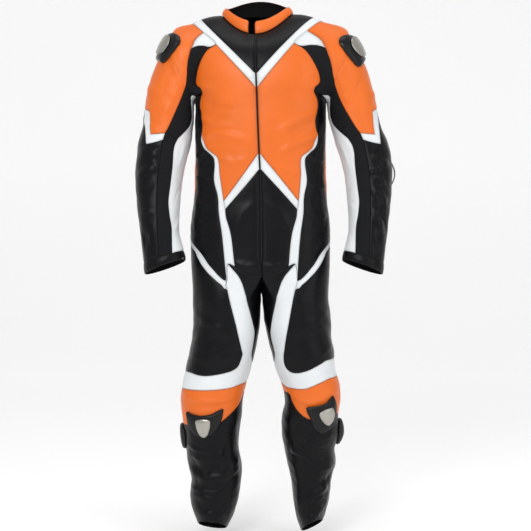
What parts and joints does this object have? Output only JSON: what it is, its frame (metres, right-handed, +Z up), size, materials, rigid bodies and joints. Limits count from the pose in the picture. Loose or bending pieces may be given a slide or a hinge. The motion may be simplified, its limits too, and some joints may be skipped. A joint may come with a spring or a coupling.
{
  "type": "motorcycle race suit",
  "caption": "One-piece leather race suit with stretch panels, shoulder and knee guards, stand collar and front zip, open at neck, cuffs and hems",
  "frame": {"origin": "centre of the neck seam, where the wearer's shoulders hold the suit", "axes": "+X to the wearer's left, +Y to the back of the suit, +Z up"},
  "size_m": [0.6967, 0.2432, 1.4477],
  "materials": {
    "black_leather": "satin to glossy grain",
    "orange_leather": "satin grain",
    "white_leather": "satin grain",
    "stretch_fabric": "matte weave",
    "collar_lining": "matte mesh",
    "zip_tape": "woven tape with moulded teeth",
    "guard_shell": "moulded, satin",
    "guard_metal": "satin",
    "slider_plastic": "moulded, matte"
  },
  "bodies": {
    "root": {"yoke_right": "black_leather", "yoke_left": "black_leather", "side_panel_right": "black_leather", "side_panel_left": "black_leather", "belly_right": "black_leather", "belly_left": "black_leather", "forearm_right": "black_leather", "forearm_left": "black_leather", "cuff_right": "black_leather", "cuff_left": "black_leather", "inner_thigh_right": "black_leather", "inner_thigh_left": "black_leather", "thigh_right": "black_leather", "thigh_left": "black_leather", "shin_right": "black_leather", "shin_left": "black_leather", "back_yoke": "black_leather", "seat": "black_leather", "forearm_loop": "black_leather", "chest_right": "orange_leather", "chest_left": "orange_leather", "sleeve_cap_right": "orange_leather", "sleeve_cap_left": "orange_leather", "knee_right": "orange_leather", "knee_left": "orange_leather", "back_panel": "orange_leather", "collar": "orange_leather", "v_stripe_right": "white_leather", "v_stripe_left": "white_leather", "peak_stripe_right": "white_leather", "peak_stripe_left": "white_leather", "side_stripe_right": "white_leather", "side_stripe_left": "white_leather", "gusset_right": "white_leather", "gusset_left": "white_leather", "inner_arm_right": "white_leather", "inner_arm_left": "white_leather", "elbow_band_right": "white_leather", "elbow_band_left": "white_leather", "hip_stripe_right": "white_leather", "hip_stripe_left": "white_leather", "thigh_stripe_right": "white_leather", "thigh_stripe_left": "white_leather", "arm_stretch_right": "stretch_fabric", "arm_stretch_left": "stretch_fabric", "forearm_stretch_right": "stretch_fabric", "forearm_stretch_left": "stretch_fabric", "collar_lining": "collar_lining", "front_zip": "zip_tape", "shoulder_cup_right": "guard_shell", "shoulder_cup_left": "guard_shell", "knee_cup_right": "guard_shell", "knee_cup_left": "guard_shell", "shoulder_insert_right": "guard_metal", "shoulder_insert_left": "guard_metal", "knee_insert_right": "guard_metal", "knee_insert_left": "guard_metal", "knee_slider_right": "slider_plastic", "knee_slider_left": "slider_plastic"}
  },
  "joints": []
}
